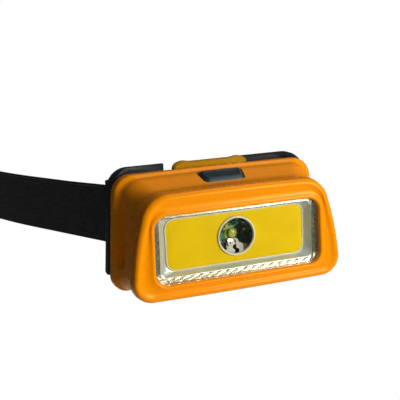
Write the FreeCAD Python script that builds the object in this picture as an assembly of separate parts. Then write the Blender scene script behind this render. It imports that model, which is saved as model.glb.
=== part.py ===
import FreeCAD, Part
import math
import os

V = FreeCAD.Vector
os.makedirs("parts", exist_ok=True)

# ---------------------------------------------------------------- driving dimensions, mm
# Working coordinates: x to the wearer's left-to-right as seen from the front, y from the window
# plane back towards the forehead, z up, window centre at the origin. At export everything
# moves by SHIFT, so the row's origin is the centre of the forehead pad's rear face.
PAD_BACK = 35.0
PAD_Z = 4.0
SHIFT = V(0, -PAD_BACK, -PAD_Z)

WALL = 1.7
WIN_HT, WIN_WT, WIN_WB, WIN_R = 11.26, 28.73, 29.28, 4.2      # window half height, half widths, corner radius
PAN_ZT, PAN_ZB, PAN_W, PAN_R = 9.5, -7.9, 24.55, 3.4           # phosphor panel top, bottom, half width, radius
PAN_Y = 4.0                                                   # front of the phosphor panel
SPOT_R, SPOT_RING_R = 6.0, 6.9                                # spot aperture, trim ring
SPOT_Z = 1.1
# outer sections of the housing: y, top z, bottom z, half width at top, at bottom, top radius, bottom radius
SECTIONS = [
    (0.00, 17.3, -15.6, 30.4, 37.3, 9.2, 6.0),
    (0.45, 17.8, -16.1, 30.9, 37.9, 9.5, 6.4),
    (1.50, 18.2, -16.4, 31.4, 38.2, 9.6, 6.6),
    (4.60, 18.3, -16.6, 31.8, 38.2, 9.4, 6.6),
    (6.80, 17.9, -16.4, 31.6, 37.4, 9.0, 6.4),
    (9.50, 17.8, -16.2, 31.5, 36.5, 8.4, 6.2),
    (13.0, 19.0, -16.3, 32.0, 36.4, 8.0, 6.0),
    (17.0, 20.6, -16.9, 33.6, 37.4, 7.4, 5.6),
    (20.0, 21.6, -17.4, 35.0, 38.7, 7.0, 5.2),
    (21.5, 21.9, -17.7, 35.9, 39.2, 6.8, 5.0),
]
FL = (21.95, -17.8, 36.2, 39.4, 6.6, 5.0)                      # flange outline
Y_SPLIT, Y_FL_BACK, Y_REAR = 21.5, 24.8, 28.0
BR = (23.6, -13.6, 36.3, 39.5, 7.4, 1.2)                       # bracket outline
Y_BR0, Y_BR1, Y_RIM = 28.3, 31.0, 25.4
PIV_Y, PIV_Z, PIN_R, LUG_R, LUG_W, EAR_W = 27.7, -15.0, 1.0, 2.3, 9.2, 3.0
TILT_MAX = 55.0
CELL_R, CELL_L, CELL_Y, CELL_PITCH, CELL_Z = 5.25, 44.5, 18.4, 10.6, 1.0
DOOR_T, DOOR_W, DOOR_Z0, DOOR_Z1, DOOR_TRAVEL = 0.9, 25.9, -11.7, 21.2, 30.0
TAB_W, TAB_Z = 14.0, 24.8
BTN_SLOPE = 20.0                                               # slope of the button face
BTN_Y, BTN_Z, BTN_LEN, BTN_WB, BTN_WF, BTN_TRAVEL = 14.4, 20.8, 7.2, 8.2, 7.1, 0.6
BAR_X, BAR_Y, BAR_R = 33.2, 39.6, 1.0                          # strap bars
ST_Z0, ST_Z1, ST_T = -4.9, 15.1, 1.1                           # webbing, 20 wide
ST_ANG = 61.0                                                  # heading of the front layer, degrees back from -X
ST_LEN, ST_FOLD = 138.0, 3.0
SL_X, SL_W = 6.0, 7.0                                          # slider rest position and half length


def out(name, shape):
    s = shape.copy()
    s.translate(SHIFT)
    s.exportStep("parts/%s.step" % name)
    print("%-18s solids %d  vol %.1f  valid %s" % (name, len(s.Solids), s.Volume, s.isValid()))


def fuse(first, *rest):
    r = first
    for s in rest:
        r = r.fuse(s)
    return r.removeSplitter()


def outline(y, zt, zb, wt, wb, rt, rb):
    """Closed wire of a trapezoid with rounded corners in the plane at y."""
    c = [(-wb, zb, rb), (wb, zb, rb), (wt, zt, rt), (-wt, zt, rt)]
    pts = []
    for i in range(4):
        x, z, r = c[i]
        px, pz, _ = c[i - 1]
        nx, nz, _ = c[(i + 1) % 4]
        a = (px - x, pz - z)
        b = (nx - x, nz - z)
        la, lb = math.hypot(*a), math.hypot(*b)
        a = (a[0] / la, a[1] / la)
        b = (b[0] / lb, b[1] / lb)
        half = math.acos(a[0] * b[0] + a[1] * b[1]) / 2
        t = r / math.tan(half)
        bis = (a[0] + b[0], a[1] + b[1])
        lbis = math.hypot(*bis)
        bis = (bis[0] / lbis, bis[1] / lbis)
        h = r / math.sin(half)
        p0 = (x + a[0] * t, z + a[1] * t)
        p1 = (x + b[0] * t, z + b[1] * t)
        m = (x + bis[0] * (h - r), z + bis[1] * (h - r))
        pts.append((p0, m, p1))
    edges = []
    for i in range(4):
        p0, m, p1 = pts[i]
        q0 = pts[(i + 1) % 4][0]
        edges.append(Part.Arc(V(p0[0], y, p0[1]), V(m[0], y, m[1]), V(p1[0], y, p1[1])).toShape())
        edges.append(Part.LineSegment(V(p1[0], y, p1[1]), V(q0[0], y, q0[1])).toShape())
    return Part.Wire(edges)


def inset(sec, d):
    y, zt, zb, wt, wb, rt, rb = sec
    return (y, zt - d, zb + d, wt - d, wb - d, max(rt - d, 0.6), max(rb - d, 0.6))


def loft(sections):
    return Part.makeLoft([outline(*s) for s in sections], True, True)


def slab(y0, y1, spec):
    return loft([(y0,) + spec, (y1,) + spec])


def ins(spec, d):
    return inset((0,) + spec, d)[1:]


def box(x0, x1, y0, y1, z0, z1):
    return Part.makeBox(x1 - x0, y1 - y0, z1 - z0, V(x0, y0, z0))


def cyl(r, p0, p1):
    d = V(*p1) - V(*p0)
    return Part.makeCylinder(r, d.Length, V(*p0), d)


def cone(r0, r1, p0, p1):
    d = V(*p1) - V(*p0)
    return Part.makeCone(r0, r1, d.Length, V(*p0), d)


def sec_at(y):
    for a, b in zip(SECTIONS, SECTIONS[1:]):
        if a[0] <= y <= b[0]:
            t = (y - a[0]) / (b[0] - a[0])
            return tuple(p + (q - p) * t for p, q in zip(a, b))
    return SECTIONS[-1]


WIN = (WIN_HT, -WIN_HT, WIN_WT, WIN_WB, WIN_R, WIN_R)

# ---------------------------------------------------------------- button geometry
tilt = math.radians(BTN_SLOPE)
NRM = V(0, -math.sin(tilt), math.cos(tilt))                   # outward from the button face
ALONG = V(0, math.cos(tilt), math.sin(tilt))                  # up the slope, towards the back
BC = V(0, BTN_Y, BTN_Z)


def button_prism(grow, depth0, depth1, r=1.6):
    """Prism with the button's plan, grown by grow, from depth0 to depth1 below the face."""
    hl = BTN_LEN / 2 + grow
    wb, wf = BTN_WB + grow, BTN_WF + grow
    base = BC - NRM * depth1
    p = [V(-wf, 0, 0) - ALONG * hl, V(wf, 0, 0) - ALONG * hl, V(wb, 0, 0) + ALONG * hl, V(-wb, 0, 0) + ALONG * hl]
    p = [base + q for q in p]
    f = Part.Face(Part.makePolygon(p + [p[0]]))
    s = f.extrude(NRM * (depth1 - depth0))
    es = [e for e in s.Edges if abs(abs((e.Vertexes[1].Point - e.Vertexes[0].Point).normalize().dot(NRM)) - 1) < 1e-4]
    return s.makeFillet(r + max(grow, 0) * 0.5, es)


# ---------------------------------------------------------------- front shell
front = loft(SECTIONS)
inner = [inset(sec_at(y), WALL) for y in (3.2, 4.6, 6.8, 9.5, 13.0, 17.0, 20.0)]
last = inset(SECTIONS[-1], WALL)
inner += [last, (last[0] + 1.0,) + last[1:]]
front = front.cut(loft(inner))
front = front.cut(slab(-1.0, 4.0, WIN))
front = front.cut(button_prism(0.25, -4.0, 6.0))
# four screw bosses with pilot holes, standing inside the corners
BOSS = [(-31.5, -12.0), (31.5, -12.0), (-28.0, 14.8), (28.0, 14.8)]
for bx, bz in BOSS:
    boss = cyl(1.9, (bx, 9.0, bz), (bx, 21.5, bz))
    front = front.fuse(boss)
for bx, bz in BOSS:
    front = front.cut(cyl(0.9, (bx, 12.0, bz), (bx, 22.0, bz)))
front = front.removeSplitter()

# ---------------------------------------------------------------- rear shell
fl_front = SECTIONS[-1][1:]
rear = loft([(Y_SPLIT,) + fl_front, (22.3,) + FL, (24.1,) + FL, (Y_FL_BACK,) + ins(FL, 0.6)])
BACK = (21.3, -13.2, 33.6, 36.8, 5.0, 1.5)
rear = rear.fuse(slab(Y_FL_BACK - 0.01, Y_REAR, BACK))
rear = rear.cut(slab(Y_SPLIT - 0.5, 24.0, ins(FL, WALL + 0.3)))
rear = rear.cut(box(-23.4, 23.4, 23.0, 25.6, -11.8, 17.2))                    # way to the cells
rear = rear.cut(box(-DOOR_W - 0.3, DOOR_W + 0.3, 25.4, 26.9, -12.0, 40))      # door grooves
rear = rear.cut(box(-24.5, 24.5, 26.8, 30, -12.0, 40))
rear = rear.cut(box(-12.9, 12.9, Y_FL_BACK, 30, -14, -12.0))                  # room for the hinge ears
lug = cyl(LUG_R, (-LUG_W, PIV_Y, PIV_Z), (LUG_W, PIV_Y, PIV_Z)).fuse(
    box(-LUG_W, LUG_W, 24.2, PIV_Y, -17.2, -12.6))
rear = rear.fuse(lug)
rear = rear.cut(cyl(PIN_R + 0.05, (-20, PIV_Y, PIV_Z), (20, PIV_Y, PIV_Z)))
for k in range(7):                                                           # click grooves in the lug
    a = math.radians(-62 + k * 13)
    gy, gz = PIV_Y + LUG_R * math.cos(a), PIV_Z + LUG_R * math.sin(a)
    if gy > PIV_Y:
        rear = rear.cut(cyl(0.28, (-4.2, gy, gz), (4.2, gy, gz)))
for bx, bz in BOSS:
    rear = rear.fuse(cyl(1.9, (bx, 21.5, bz), (bx, 24.1, bz)))
for bx, bz in BOSS:
    rear = rear.cut(cyl(1.15, (bx, 20.0, bz), (bx, 30.0, bz)))
    rear = rear.cut(cyl(2.1, (bx, 25.2, bz), (bx, 30.0, bz)))
rear = rear.removeSplitter()

screws = []
for bx, bz in BOSS:
    screws.append(fuse(cyl(0.9, (bx, 14.0, bz), (bx, 25.2, bz)), cyl(1.9, (bx, 25.2, bz), (bx, 26.6, bz)).cut(
        box(bx - 1.3, bx + 1.3, 26.1, 27, bz - 0.25, bz + 0.25)).cut(box(bx - 0.25, bx + 0.25, 26.1, 27, bz - 1.3, bz + 1.3))))
housing_screws = Part.makeCompound(screws)

# ---------------------------------------------------------------- window, gasket, reflector, lights
lens = slab(0.7, 1.7, ins(WIN, 0.15))
REFL = (WIN_HT + 2.4, -WIN_HT - 2.4, WIN_WT + 1.6, WIN_WB + 1.6, 4.6, 4.6)    # hidden fixing flange of the reflector
refl_out = fuse(slab(1.7, 3.4, ins(WIN, 0.2)), slab(3.4, 7.0, ins(REFL, 0.1)))
PAN = (PAN_ZT, PAN_ZB, PAN_W, PAN_W, PAN_R, PAN_R)
LIP0, LIP1 = ins(WIN, 1.3), ins(WIN, 1.9)                       # ribbed lip, narrower along the top
refl_in = loft([(1.69, WIN[0] - 0.8) + LIP0[1:], (2.3, WIN[0] - 1.15) + LIP1[1:], (4.3,) + ins(PAN, -0.3), (4.5,) + ins(PAN, -0.3)])
reflector = refl_out.cut(refl_in).cut(slab(4.4, 7.2, (10.2, -10.2, 27.2, 27.2, 2.5, 2.5)))
gasket = slab(3.45, 4.3, ins(REFL, -0.9)).cut(slab(3.0, 5.0, ins(REFL, 0.0)))
gasket = gasket.common(loft([inset(sec_at(y), WALL + 0.05) for y in (3.3, 4.6, 6.8)]))

cob_board = slab(4.6, 5.8, (9.9, -9.9, 26.9, 26.9, 2.3, 2.3)).cut(cyl(6.6, (0, 4, SPOT_Z), (0, 7, SPOT_Z)))
phosphor = slab(PAN_Y, 4.6, PAN).cut(cyl(SPOT_RING_R - 0.15, (0, 3, SPOT_Z), (0, 7, SPOT_Z)))
ring = cyl(SPOT_RING_R - 0.2, (0, 3.5, SPOT_Z), (0, 4.6, SPOT_Z)).cut(cyl(SPOT_R, (0, 3, SPOT_Z), (0, 5, SPOT_Z)))
cup = fuse(cyl(6.5, (0, 4.6, SPOT_Z), (0, 8.2, SPOT_Z)))
cup = cup.cut(cone(6.0, 2.3, (0, 4.59, SPOT_Z), (0, 8.21, SPOT_Z)))
spot_led = fuse(cyl(5.6, (0, 8.2, SPOT_Z), (0, 9.0, SPOT_Z)), box(-1.7, 1.7, 7.5, 8.3, SPOT_Z - 1.7, SPOT_Z + 1.7)
                .common(cyl(2.2, (0, 7, SPOT_Z), (0, 9, SPOT_Z))))
heat_sink = slab(5.8, 7.0, (10.1, -10.1, 27.1, 27.1, 2.4, 2.4))
for k in range(-2, 3):
    if k:
        heat_sink = heat_sink.fuse(box(k * 9.5 - 0.6, k * 9.5 + 0.6, 6.9, 9.2, -9.5, 9.5))
heat_sink = heat_sink.cut(cyl(6.6, (0, 4, SPOT_Z), (0, 12, SPOT_Z))).removeSplitter()
hs = []
for hx in (-24.0, 24.0):
    c = cyl(1.0, (hx, 4.6, 0), (hx, 8.4, 0))
    heat_sink = heat_sink.cut(c)
    cob_board = cob_board.cut(c)
    hs.append(fuse(cyl(1.0, (hx, 4.6, 0), (hx, 7.0, 0)), cyl(1.8, (hx, 7.0, 0), (hx, 8.2, 0))))
heat_sink_screws = Part.makeCompound(hs)

# ---------------------------------------------------------------- electronics
driver_board = box(-22, 22, 9.6, 10.6, -11.5, 12.0)
parts = [box(-16, -10, 10.6, 12.0, -6, -1), box(9, 13, 10.6, 12.1, -8, -2), cyl(2.2, (16.5, 10.6, 4), (16.5, 12.2, 4)),
         box(-19, -17, 10.6, 11.6, 2, 6), box(-6, -3.5, 10.6, 11.5, 3, 4.5), box(2, 5.5, 10.6, 11.7, -9, -5)]
driver_parts = Part.makeCompound(parts)
tact_body = fuse(box(-3, 3, 10.6, 13.0, 10.4, 13.3), cyl(1.0, (0, 11.9, 13.3), (0, 11.9, 14.1)))

# button cap: domed face, skirt inside the hole, stem that reaches the switch
cap_top = button_prism(0.0, 0.0, 2.6)
try:
    fe = [e for e in cap_top.Edges if min((e.CenterOfMass - BC).dot(NRM), 0) > -0.05]
    cap_top = cap_top.makeFillet(0.55, fe)
except Exception:
    pass
flange_cap = button_prism(0.8, 3.6, 4.2, 1.8)
# stem runs down the press direction to just above the switch plunger
stem_top = BC - NRM * 4.0 - ALONG * 3.4
cap_mid = button_prism(-0.6, 2.5, 3.7, 1.2)
stem = Part.makeCylinder(0.9, 0.9, V(0, stem_top.y, stem_top.z), -NRM)
button_cap = fuse(cap_top, cap_mid, flange_cap, stem)
seal = button_prism(1.2, 2.98, 3.5).cut(button_prism(0.08, 2.0, 4.2))

# ---------------------------------------------------------------- battery bay
z_lo = CELL_Z - CELL_PITCH - CELL_R
z_hi = CELL_Z + CELL_PITCH + CELL_R
tray = box(-25.6, 25.6, 12.4, 23.7, z_lo - 0.7, z_hi + 0.7)
tray = tray.cut(box(-24.8, 24.8, 13.0, 25.0, z_lo - 0.1, z_hi + 0.1))
tray = tray.cut(box(-10.5, 10.5, 11.0, 20.0, 13.2, 20.0))                      # clears the button
tray = tray.cut(box(-4.5, 4.5, 11.0, 14.8, 9.8, 20.0))                         # clears the switch
tray = tray.common(loft([inset(sec_at(y), WALL + 0.15) for y in (9.5, 13.0, 17.0, 20.0)] +
                        [(22.5,) + ins(SECTIONS[-1][1:], WALL + 0.15), (24.0,) + ins(SECTIONS[-1][1:], WALL + 0.3)]))
for lx in (-20.0, 20.0):
    tray = tray.cut(cyl(0.75, (lx, 11, -8), (lx, 14, -8)))
tray = tray.removeSplitter()
cells, springs, plates = [], [], []
for k in (-1, 0, 1):
    zc = CELL_Z + k * CELL_PITCH
    sgn = 1 if k else -1
    body = cyl(CELL_R - 0.05, (-CELL_L / 2, CELL_Y, zc), (CELL_L / 2 - 1.0, CELL_Y, zc))
    nub = cyl(1.9, (CELL_L / 2 - 1.0, CELL_Y, zc), (CELL_L / 2, CELL_Y, zc))
    c = fuse(body, nub)
    if sgn < 0:
        c = c.mirror(V(0, 0, 0), V(1, 0, 0))
    cells.append(c)
    sx = -1 if sgn > 0 else 1
    turns = []
    for t in range(3):                                                        # flat coils of the contact spring
        x = sx * (CELL_L / 2 + 0.35 + t * 0.62)
        r = 2.3 + 0.5 * t
        tor = Part.makeTorus(r, 0.25, V(x, CELL_Y, zc), V(1, 0, 0))
        turns.append(tor)
    link1 = box(min(sx * (CELL_L / 2 + 0.1), sx * (CELL_L / 2 + 1.85)), max(sx * (CELL_L / 2 + 0.1), sx * (CELL_L / 2 + 1.85)),
                CELL_Y - 0.2, CELL_Y + 0.2, zc + 2.1, zc + 3.55)
    s = turns[0].fuse(turns[1]).fuse(turns[2]).fuse(link1)
    springs.append(s)
    px = sx * 24.15
    plates.append(box(px - 0.2 + sx * 0.35, px + 0.2 + sx * 0.35, CELL_Y - 4.2, CELL_Y + 4.2, zc - 4.4, zc + 4.4))
    qx = -sx * (CELL_L / 2 + 0.0)
    x0, x1 = sorted((qx, qx - sx * 0.4))
    pl = box(x0, x1, CELL_Y - 4.2, CELL_Y + 4.2, zc - 4.4, zc + 4.4)
    x0, x1 = sorted((qx - sx * 0.4, -sx * 24.8))
    pl = pl.fuse(box(x0, x1, CELL_Y - 4.2, CELL_Y - 3.4, zc - 1, zc + 1))
    plates.append(pl)
battery_cells = Part.makeCompound(cells)
contact_springs = Part.makeCompound(springs)
contact_plates = Part.makeCompound(plates)
leads = Part.makeCompound([cyl(0.6, (lx, 10.6, -8), (lx, 13.0, -8)) for lx in (-20.0, 20.0)])

door_seal = slab(24.85, 25.35, (18.6, -11.95, 24.6, 24.6, 2, 0.7)).cut(slab(24, 26, (17.25, -11.85, 23.45, 23.45, 1.2, 0.6)))
door_seal = door_seal.cut(box(-30, 30, 24, 26, -14, -11.85))
rear = rear.cut(slab(24.8, 25.5, (18.7, -12.0, 24.7, 24.7, 2, 0.7)))

door = fuse(box(-DOOR_W, DOOR_W, 25.7, 25.7 + DOOR_T, DOOR_Z0, DOOR_Z1), box(-24.2, 24.2, 26.5, 27.7, DOOR_Z0 + 0.2, DOOR_Z1))
tab = box(-TAB_W, TAB_W, 25.0, 27.7, 21.6, TAB_Z)
tab = tab.makeFillet(1.2, [e for e in tab.Edges if abs(e.CenterOfMass.z - TAB_Z) < 0.01 or
                           (abs(abs(e.CenterOfMass.x) - TAB_W) < 0.01 and abs(e.CenterOfMass.y - 27.7) < 0.01)])
neck = box(-TAB_W + 0.8, TAB_W - 0.8, 25.7, 27.7, 21.0, 23.0)
door = fuse(door, tab, neck)

# ---------------------------------------------------------------- bracket
# one moulded plate with rounded outer edges; its rim wraps forward round the housing at the sides and upper corners
rear_edge = [(29.4, 0.0), (30.2, 0.12), (30.7, 0.45), (Y_BR1, 1.0)]
plate = loft([(y,) + ins(BR, d) for y, d in [(28.05, 0.8), (28.3, 0.4), (28.7, 0.12), (29.1, 0.0)] + rear_edge])
rim = loft([(y,) + ins(BR, d) for y, d in [(Y_RIM, 0.85), (25.7, 0.4), (26.2, 0.12), (26.8, 0.0)] + rear_edge])
ramp = Part.Face(Part.makePolygon([V(x, y, -20) for x, y in ((-33.5, 20), (-33.5, 25.3), (-26.3, 28.05), (26.3, 28.05), (33.5, 25.3), (33.5, 20), (-33.5, 20))]))
rim = rim.cut(slab(Y_RIM - 1, Y_BR0, ins(BR, 1.5))).cut(ramp.extrude(V(0, 0, 60))).cut(box(-50, 50, 20, Y_BR0, -20, -12.1))
bracket = plate.fuse(rim)
bracket = bracket.cut(box(-16.5, 12.0, 20, 40, 17.0, 40))                      # finger notch behind the door tab
bracket = bracket.cut(box(-LUG_W - 0.3, LUG_W + 0.3, 20, 40, -30, -11.5))      # notch round the hinge lug
for s in (-1, 1):
    x0, x1 = sorted((s * (LUG_W + 0.3), s * (LUG_W + 0.3 + EAR_W)))
    bracket = bracket.fuse(cyl(2.2, (x0, PIV_Y, PIV_Z), (x1, PIV_Y, PIV_Z)))
    bracket = bracket.fuse(box(x0, x1, PIV_Y, Y_BR1, -17.2, -12.5))
    bracket = bracket.cut(cyl(PIN_R, (x0 - 1, PIV_Y, PIV_Z), (x1 + 1, PIV_Y, PIV_Z)))
    # arms that carry the strap bar behind the wing
    for z0, z1 in ((ST_Z1 + 0.4, ST_Z1 + 2.6), (ST_Z0 - 3.0, ST_Z0 - 0.4)):
        a0, a1 = sorted((s * (BAR_X - 1.8), s * (BAR_X + 1.8)))
        arm = fuse(box(a0, a1, Y_BR1 - 0.2, BAR_Y, z0, z1), cyl(1.8, (s * BAR_X, BAR_Y, z0), (s * BAR_X, BAR_Y, z1)))
        bracket = bracket.fuse(arm)
    bracket = bracket.fuse(cyl(BAR_R, (s * BAR_X, BAR_Y, ST_Z0 - 2.2), (s * BAR_X, BAR_Y, ST_Z1 + 1.8)))
bracket = bracket.cut(box(-4.1, 4.1, 30.2, 30.6, -12, -7.5))                   # seat of the leaf
bracket = bracket.removeSplitter()
hinge_pin = cyl(PIN_R, (-LUG_W - 3.1, PIV_Y, PIV_Z), (LUG_W + 3.1, PIV_Y, PIV_Z))
leaf = box(-4.0, 4.0, 30.25, 30.55, -17.0, -7.6)
pad = box(-30, 30, Y_BR1, PAD_BACK, -11, 19)
pad = pad.makeFillet(3.0, [e for e in pad.Edges if abs(e.CenterOfMass.y - (Y_BR1 + PAD_BACK) / 2) < 0.01])

# ---------------------------------------------------------------- webbing: one band, folded flat
a61 = math.radians(ST_ANG)


def front_line(n=0):
    """Points, headings of the front layer, from the left bar outwards."""
    s, step = 0.0, 4.0
    bx, by = -BAR_X, BAR_Y
    off = BAR_R + 0.1 + ST_T / 2
    nx, ny = -math.sin(a61), -math.cos(a61)
    x, y = bx + nx * off, by + ny * off
    res = []
    while s <= ST_LEN + 1e-6:
        t = max(0.0, (s - 46.0) / (ST_LEN - 46.0))
        h = math.radians(ST_ANG + 22.0 * t)
        res.append((s, x, y, h))
        x += -math.cos(h) * step
        y += math.sin(h) * step
        s += step
    return res


FRONT = front_line()
OFF = BAR_R + 0.1 + ST_T / 2                                   # 1.65, centreline of a layer from the bar's centre


def nb(h):
    return (math.sin(h), math.cos(h))                          # towards the rear side of the front layer


path = []
d = (-math.cos(a61), math.sin(a61))
n = nb(a61)
bx, by = -BAR_X, BAR_Y
# sewn end, lying behind the front layer
for s, w in ((17.0, ST_T + 0.12), (12.0, ST_T + 0.12), (9.0, ST_T + 0.2), (5.5, 2.1), (2.5, 3.0)):
    path.append((bx + d[0] * s + n[0] * (w - OFF), by + d[1] * s + n[1] * (w - OFF)))
# round the left bar
for k in range(0, 13):
    a = math.pi * k / 12
    # from +n through -d to -n
    cx = n[0] * math.cos(a) - d[0] * math.sin(a)
    cy = n[1] * math.cos(a) - d[1] * math.sin(a)
    path.append((bx + cx * OFF, by + cy * OFF))
for s, x, y, h in FRONT[1:]:
    path.append((x, y))
# fold at the far end
s, x, y, h = FRONT[-1]
nn, dd = nb(h), (-math.cos(h), math.sin(h))
cx, cy = x + nn[0] * ST_FOLD / 2, y + nn[1] * ST_FOLD / 2
for k in range(1, 12):
    a = math.pi * k / 12
    path.append((cx + (-nn[0] * math.cos(a) + dd[0] * math.sin(a)) * ST_FOLD / 2,
                 cy + (-nn[1] * math.cos(a) + dd[1] * math.sin(a)) * ST_FOLD / 2))
# return layer
for s, x, y, h in reversed(FRONT):
    if s < 5:
        continue
    m = nb(h)
    w = ST_FOLD - 0.35 * math.sin(math.pi * min(1, max(0, (s - 24) / (ST_LEN - 24)))) if s > 24 else 3.0 + (24 - s) / 24 * 1.95
    path.append((x + m[0] * w, y + m[1] * w))
# bend into the run across the back of the pad
YB = BAR_Y + OFF
corner = (bx + n[0] * 3.3, by + n[1] * 3.3)
k_t = (YB - corner[1]) / d[1]
corner = (corner[0] + d[0] * k_t, YB)
R = 4.0
turn = a61
tl = R * math.tan(turn / 2)
start = (corner[0] + d[0] * tl, corner[1] + d[1] * tl)
ccx, ccy = corner[0] + tl, YB + R
for k in range(0, 9):
    a = -math.pi / 2 - turn * (1 - k / 8)
    path.append((ccx + R * math.cos(a), ccy + R * math.sin(a)))
for x in (-20, -5, 10, 25):
    path.append((x, YB))
for k in range(0, 13):
    a = math.pi / 2 - math.pi * k / 12
    path.append((BAR_X + OFF * math.cos(a), BAR_Y + OFF * math.sin(a)))
for x in (25, 5, -14):
    path.append((x, BAR_Y - OFF))


def band(points, t, z0, z1):
    L, Rr = [], []
    N = len(points)
    for i, (x, y) in enumerate(points):
        x0, y0 = points[max(i - 1, 0)]
        x1, y1 = points[min(i + 1, N - 1)]
        ax, ay = x - x0, y - y0
        bx_, by_ = x1 - x, y1 - y
        la, lb = math.hypot(ax, ay) or 1, math.hypot(bx_, by_) or 1
        if i == 0:
            ax, ay, la = bx_, by_, lb
        if i == N - 1:
            bx_, by_, lb = ax, ay, la
        tx, ty = ax / la + bx_ / lb, ay / la + by_ / lb
        lt = math.hypot(tx, ty)
        tx, ty = tx / lt, ty / lt
        cosh = max(0.5, tx * ax / la + ty * ay / la)
        o = t / 2 / cosh
        L.append(V(x - ty * o, y + tx * o, z0))
        Rr.append(V(x + ty * o, y - tx * o, z0))
    poly = L + Rr[::-1]
    f = Part.Face(Part.makePolygon(poly + [poly[0]]))
    return f.extrude(V(0, 0, z1 - z0))


strap = band(path, ST_T, ST_Z0, ST_Z1)
length = sum(math.hypot(b[0] - a[0], b[1] - a[1]) for a, b in zip(path, path[1:]))
print("webbing length %.1f mm" % length)

# ---------------------------------------------------------------- slider
y_in0, y_out1 = BAR_Y - OFF - ST_T / 2, BAR_Y + OFF + ST_T / 2
sl = fuse(box(SL_X - SL_W, SL_X + SL_W, y_in0 + 0.2, y_out1 + 1.7, ST_Z1 + 0.3, ST_Z1 + 2.4),
          box(SL_X - SL_W, SL_X + SL_W, y_in0 + 0.2, y_out1 + 1.7, ST_Z0 - 2.4, ST_Z0 - 0.3),
          box(SL_X - SL_W, SL_X - SL_W + 2.4, y_out1 + 0.3, y_out1 + 1.7, ST_Z0 - 1, ST_Z1 + 1),
          box(SL_X + SL_W - 2.4, SL_X + SL_W, y_out1 + 0.3, y_out1 + 1.7, ST_Z0 - 1, ST_Z1 + 1),
          box(SL_X - 2.0, SL_X + 2.0, BAR_Y - 0.75, BAR_Y + 0.75, ST_Z0 - 1, ST_Z1 + 1))

nodes = {
    "front_shell": front, "rear_shell": rear, "window_lens": lens, "lens_gasket": gasket, "reflector": reflector,
    "cob_board": cob_board, "cob_phosphor": phosphor, "spot_ring": ring, "spot_reflector": cup, "spot_led": spot_led,
    "heat_sink": heat_sink, "heat_sink_screws": heat_sink_screws, "driver_board": driver_board, "driver_parts": driver_parts,
    "tact_switch": tact_body, "button_cap": button_cap, "button_seal": seal, "battery_tray": tray,
    "battery_cells": battery_cells, "contact_springs": contact_springs, "contact_plates": contact_plates,
    "battery_leads": leads, "battery_door": door, "door_seal": door_seal, "housing_screws": housing_screws,
    "hinge_pin": hinge_pin, "detent_leaf": leaf, "bracket": bracket, "forehead_pad": pad, "strap_band": strap,
    "strap_slider": sl,
}
for k, v in nodes.items():
    out(k, v)
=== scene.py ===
import bpy, bmesh, math, random
import numpy as np
from mathutils import Vector, Matrix


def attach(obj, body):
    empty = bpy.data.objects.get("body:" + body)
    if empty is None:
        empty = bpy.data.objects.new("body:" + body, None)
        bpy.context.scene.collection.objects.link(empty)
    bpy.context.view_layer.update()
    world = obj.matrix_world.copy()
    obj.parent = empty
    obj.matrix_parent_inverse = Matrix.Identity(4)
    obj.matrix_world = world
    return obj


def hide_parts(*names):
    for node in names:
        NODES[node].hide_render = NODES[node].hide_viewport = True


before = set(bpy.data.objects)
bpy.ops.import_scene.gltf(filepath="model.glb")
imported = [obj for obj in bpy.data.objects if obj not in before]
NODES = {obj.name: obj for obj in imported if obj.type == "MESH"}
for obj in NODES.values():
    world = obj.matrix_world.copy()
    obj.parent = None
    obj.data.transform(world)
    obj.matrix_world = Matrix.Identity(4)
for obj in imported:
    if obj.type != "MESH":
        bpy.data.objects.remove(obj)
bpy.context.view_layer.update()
scene = bpy.context.scene
random.seed(7)

# Working coordinates are millimetres with the window centre at the origin; W() gives row-frame metres.
PAD_BACK, PAD_Z = 35.0, 4.0


def W(x, y, z):
    return (x / 1000.0, (y - PAD_BACK) / 1000.0, (z - PAD_Z) / 1000.0)


# ------------------------------------------------------------------ camera
cam_data = bpy.data.cameras.new("camera")
cam = bpy.data.objects.new("camera", cam_data)
scene.collection.objects.link(cam)
scene.camera = cam
CAM_C = (-87.183, -208.369, 62.184)
RIGHT, DOWN, FWD = (0.938413, -0.342284, -0.047152), (-0.114301, -0.178750, -0.977233), (0.326063, 0.922437, -0.206865)
m = Matrix(((RIGHT[0], -DOWN[0], -FWD[0]), (RIGHT[1], -DOWN[1], -FWD[1]), (RIGHT[2], -DOWN[2], -FWD[2])))
cam.matrix_world = Matrix.Translation(Vector(W(*CAM_C))) @ m.to_4x4()
cam_data.sensor_width = 36.0
cam_data.lens = 716.636 / 400.0 * 36.0
cam_data.clip_start, cam_data.clip_end = 0.01, 20.0

# ------------------------------------------------------------------ materials


def new_mat(name):
    m = bpy.data.materials.new(name)
    m.use_nodes = True
    nt = m.node_tree
    bsdf = nt.nodes["Principled BSDF"]
    return m, nt, bsdf


def node(nt, kind, **kw):
    n = nt.nodes.new(kind)
    for k, v in kw.items():
        if k.startswith("in_"):
            n.inputs[k[3:].replace("_", " ")].default_value = v
        else:
            setattr(n, k, v)
    return n


def coords(nt, scale=(1, 1, 1), rot=(0, 0, 0)):
    tc = nt.nodes.new("ShaderNodeTexCoord")
    mp = nt.nodes.new("ShaderNodeMapping")
    mp.inputs["Scale"].default_value = scale
    mp.inputs["Rotation"].default_value = rot
    nt.links.new(tc.outputs["Object"], mp.inputs["Vector"])
    return mp.outputs["Vector"]


def noise(nt, vec, scale, detail=4.0, rough=0.55):
    n = nt.nodes.new("ShaderNodeTexNoise")
    n.inputs["Scale"].default_value = scale
    n.inputs["Detail"].default_value = detail
    n.inputs["Roughness"].default_value = rough
    nt.links.new(vec, n.inputs["Vector"])
    return n.outputs["Fac"]


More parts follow.
